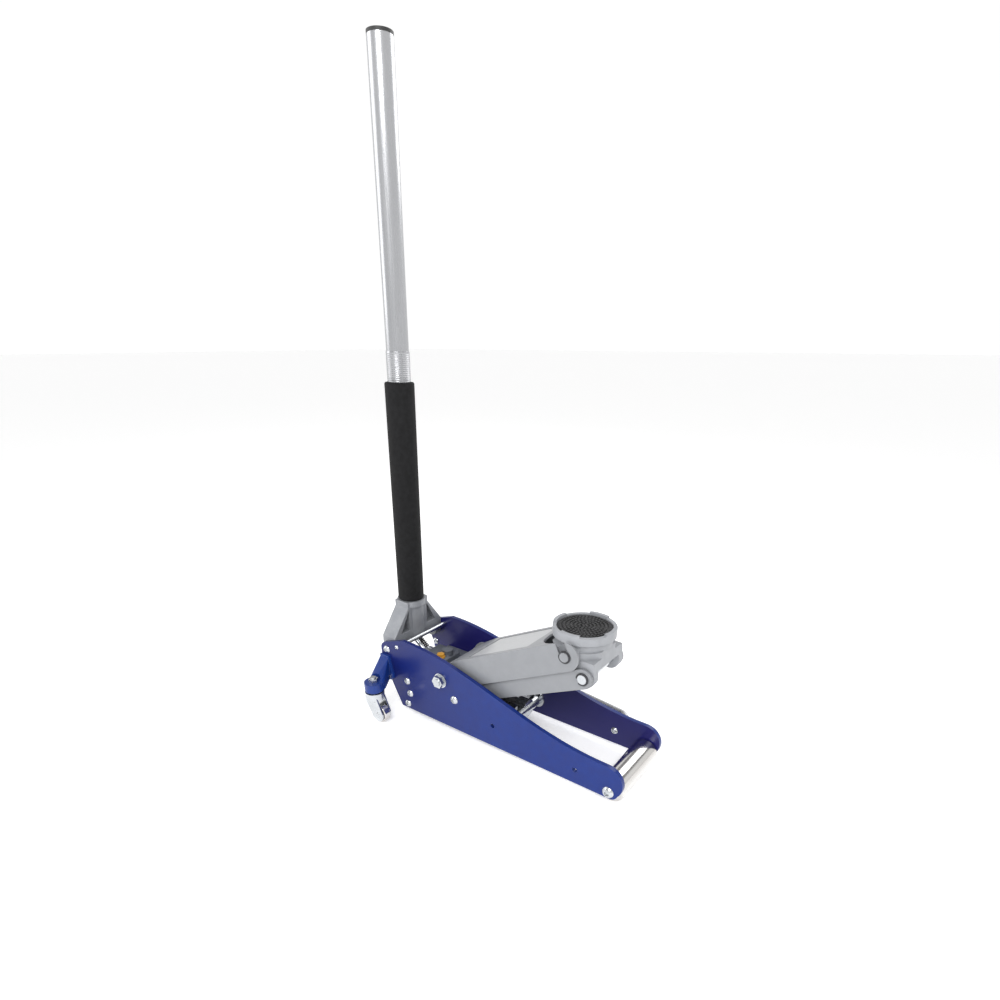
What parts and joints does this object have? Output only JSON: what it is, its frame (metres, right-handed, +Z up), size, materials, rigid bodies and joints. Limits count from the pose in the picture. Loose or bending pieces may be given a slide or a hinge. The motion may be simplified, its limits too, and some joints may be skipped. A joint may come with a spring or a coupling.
{
  "type": "hydraulic floor jack",
  "caption": "Low-profile hydraulic floor jack: two side plates, lift arm with levelling link and round saddle, front roller, swivel casters and a tall pump handle.",
  "frame": {"origin": "on the floor, at the centre of the object's bounding box", "axes": "+X to the front roller, +Y to the left, +Z up"},
  "size_m": [0.5502, 0.291, 1.0302],
  "materials": {
    "black_plastic": "matt black",
    "blue_paint": "gloss blue paint",
    "bronze": "sintered bronze",
    "cast_aluminium": "as-cast aluminium",
    "cast_grey": "satin grey casting",
    "caster_paint": "gloss bright blue paint",
    "dark_steel": "dark phosphate",
    "grey_paint": "satin light grey paint",
    "pad_rubber": "matt black rubber",
    "polished_steel": "polished steel",
    "saddle_paint": "satin grey paint over a casting",
    "sleeve_foam": "matt black foam",
    "spring_steel": "dark spring wire",
    "tube_aluminium": "satin drawn aluminium",
    "yellow_plastic": "yellow plastic",
    "zinc": "bright zinc plate"
  },
  "bodies": {
    "chassis": {"side_plate_left": "blue_paint", "side_plate_right": "blue_paint", "front_axle": "zinc", "axle_screws": "zinc", "unit_block": "cast_grey", "cylinder_tube": "grey_paint", "cylinder_gland": "dark_steel", "safety_plug": "yellow_plastic", "pump_barrels": "zinc", "unit_bolts": "zinc", "arm_pivot_shaft": "zinc", "arm_pivot_nuts": "zinc", "pivot_spacers": "zinc", "link_pivot_bolts": "zinc", "socket_pivot_bolts": "zinc", "stop_rod": "zinc", "stop_rod_screws": "zinc", "caster_bracket_left": "caster_paint", "caster_bracket_right": "caster_paint", "plate_screws": "zinc", "caster_kingpins": "zinc", "carry_handle": "tube_aluminium", "return_springs": "spring_steel"},
    "roller": {"front_roller": "polished_steel", "roller_bushes": "bronze"},
    "caster_left": {"caster_fork_left": "zinc", "caster_axle_left": "zinc"},
    "caster_right": {"caster_fork_right": "zinc", "caster_axle_right": "zinc"},
    "wheel_left": {"caster_wheel_left": "polished_steel"},
    "wheel_right": {"caster_wheel_right": "polished_steel"},
    "arm": {"lift_arm": "grey_paint", "arm_lever": "grey_paint", "lever_pins": "zinc", "upper_pins": "grey_paint", "upper_pin_clips": "dark_steel"},
    "link": {"levelling_link": "grey_paint"},
    "bracket": {"saddle_bracket": "saddle_paint", "lower_pin": "zinc", "lower_pin_clips": "dark_steel"},
    "saddle": {"saddle_cup": "saddle_paint", "saddle_pad": "pad_rubber", "saddle_clip": "dark_steel"},
    "ram": {"ram_rod": "polished_steel", "ram_piston": "dark_steel", "crosshead": "zinc", "ram_links": "zinc"},
    "plungers": {"pump_plungers": "polished_steel", "pump_springs": "spring_steel"},
    "socket": {"handle_socket": "cast_aluminium", "pump_roller_pin": "zinc", "pump_rollers": "dark_steel", "handle_lock_screw": "zinc"},
    "handle": {"handle_lower_tube": "tube_aluminium", "foam_sleeve": "sleeve_foam", "joint_collar": "tube_aluminium", "handle_upper_tube": "tube_aluminium", "handle_end_cap": "black_plastic", "release_driver": "zinc"},
    "release_valve": {"release_rod": "zinc"}
  },
  "joints": [
    {"name": "lift", "type": "hinge", "parent": "chassis", "child": "arm", "pos_m": [-0.106, 0, 0.108], "axis": [0, -1, 0], "range_deg": [-36.5, 25.5]},
    {"name": "link_swing", "type": "hinge", "parent": "chassis", "child": "link", "pos_m": [-0.075, 0, 0.076], "axis": [0, -1, 0], "range_deg": [-36.5, 25.5]},
    {"name": "saddle_level", "type": "hinge", "parent": "arm", "child": "bracket", "pos_m": [0.14656, 0, 0.23118], "axis": [0, -1, 0], "range_deg": [-25.5, 36.5]},
    {"name": "saddle_swivel", "type": "hinge", "parent": "bracket", "child": "saddle", "pos_m": [0.14656, 0, 0.25], "axis": [0, 0, 1], "continuous": true},
    {"name": "ram_slide", "type": "slide", "parent": "chassis", "child": "ram", "axis": [1, 0, 0], "range_m": [-0.029, 0.0203], "deforming": ["return_springs"]},
    {"name": "roller_spin", "type": "hinge", "parent": "chassis", "child": "roller", "pos_m": [0.25, 0, 0.023], "axis": [0, 1, 0], "continuous": true},
    {"name": "caster_left_swivel", "type": "hinge", "parent": "chassis", "child": "caster_left", "pos_m": [-0.236, 0.1265, 0.06], "axis": [0, 0, 1], "continuous": true},
    {"name": "caster_right_swivel", "type": "hinge", "parent": "chassis", "child": "caster_right", "pos_m": [-0.236, -0.1265, 0.06], "axis": [0, 0, 1], "continuous": true},
    {"name": "wheel_left_spin", "type": "hinge", "parent": "caster_left", "child": "wheel_left", "pos_m": [-0.222, 0.1265, 0.0185], "axis": [0, 1, 0], "continuous": true},
    {"name": "wheel_right_spin", "type": "hinge", "parent": "caster_right", "child": "wheel_right", "pos_m": [-0.222, -0.1265, 0.0185], "axis": [0, 1, 0], "continuous": true},
    {"name": "handle_pump", "type": "hinge", "parent": "chassis", "child": "socket", "pos_m": [-0.248, 0, 0.129], "axis": [0, 1, 0], "range_deg": [-72, 0]},
    {"name": "pump_slide", "type": "slide", "parent": "chassis", "child": "plungers", "axis": [0.788, 0, -0.6157], "range_m": [0, 0.0236], "deforming": ["pump_springs"]},
    {"name": "handle_twist", "type": "hinge", "parent": "socket", "child": "handle", "pos_m": [-0.248, 0, 0.129], "axis": [0.0262, 0, 0.9997], "range_deg": [0, 180]},
    {"name": "release_turn", "type": "hinge", "parent": "chassis", "child": "release_valve", "pos_m": [-0.248, 0, 0.129], "axis": [-0.788, 0, 0.6157], "range_deg": [0, 180]}
  ],
  "couplings": [
    {"joint": "link_swing", "follows": "lift", "ratio": 1},
    {"joint": "saddle_level", "follows": "lift", "ratio": -1},
    {"joint": "ram_slide", "follows": "lift", "m_per_rad": 0.0455},
    {"joint": "pump_slide", "follows": "handle_pump", "m_per_rad": -0.0187},
    {"joint": "release_turn", "follows": "handle_twist", "ratio": 1}
  ]
}
